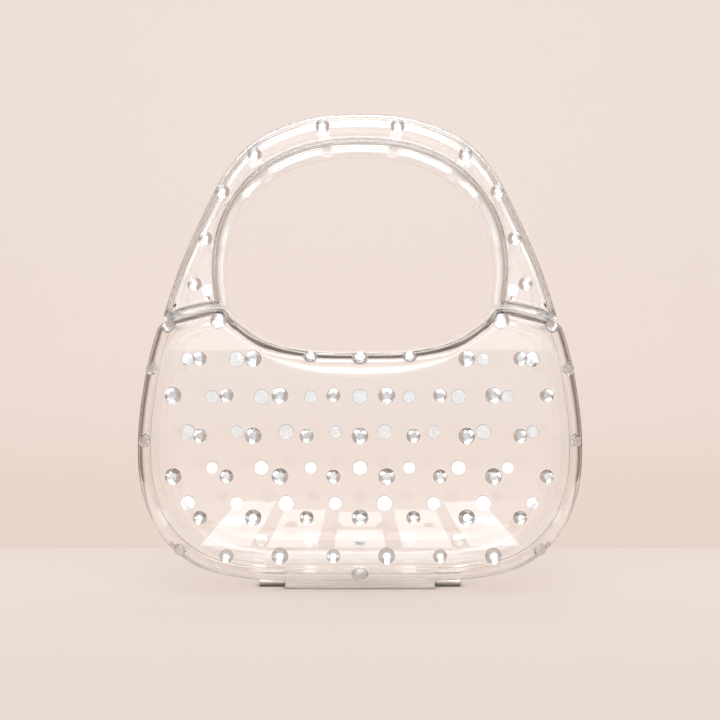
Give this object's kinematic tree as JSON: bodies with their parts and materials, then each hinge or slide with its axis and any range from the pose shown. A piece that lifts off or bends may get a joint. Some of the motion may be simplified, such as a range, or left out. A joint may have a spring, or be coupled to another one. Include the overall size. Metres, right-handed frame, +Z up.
{
  "type": "clear acrylic handbag",
  "caption": "Clear hard-shell handbag with an arched handle, two halves hinged along the bottom and rhinestones set over it.",
  "frame": {"origin": "on the ground under the hinge, at the middle of the bag", "axes": "+Z up, +X to the right as the front is seen, front face towards -Y"},
  "size_m": [0.1938, 0.0662, 0.2071],
  "materials": {
    "acrylic": "clear, polished",
    "crystal": "cut glass over silver foil",
    "steel": "satin"
  },
  "bodies": {
    "back_half": {"back_body": "acrylic", "back_handle": "acrylic", "hinge_left": "steel", "hinge_right": "steel", "hinge_pin": "steel"},
    "front_half": {"front_body": "acrylic", "front_handle": "acrylic", "hinge_middle": "steel", "stone_a1": "crystal", "stone_a2": "crystal", "stone_a3": "crystal", "stone_a4": "crystal", "stone_b1": "crystal", "stone_b2": "crystal", "stone_b3": "crystal", "stone_b4": "crystal", "stone_b5": "crystal", "stone_b6": "crystal", "stone_b7": "crystal", "stone_b8": "crystal", "stone_c1": "crystal", "stone_c2": "crystal", "stone_c3": "crystal", "stone_c4": "crystal", "stone_c5": "crystal", "stone_c6": "crystal", "stone_c7": "crystal", "stone_d1": "crystal", "stone_d2": "crystal", "stone_d3": "crystal", "stone_d4": "crystal", "stone_d5": "crystal", "stone_d6": "crystal", "stone_d7": "crystal", "stone_d8": "crystal", "stone_e1": "crystal", "stone_e2": "crystal", "stone_e3": "crystal", "stone_e4": "crystal", "stone_e5": "crystal", "stone_e6": "crystal", "stone_e7": "crystal", "stone_f1": "crystal", "stone_f2": "crystal", "stone_f3": "crystal", "stone_f4": "crystal", "stone_f5": "crystal", "stone_f6": "crystal"}
  },
  "joints": [
    {"name": "bag_opening", "type": "hinge", "parent": "back_half", "child": "front_half", "pos_m": [0, 0, 0.0021], "axis": [1, 0, 0], "range_deg": [0, 170]}
  ]
}
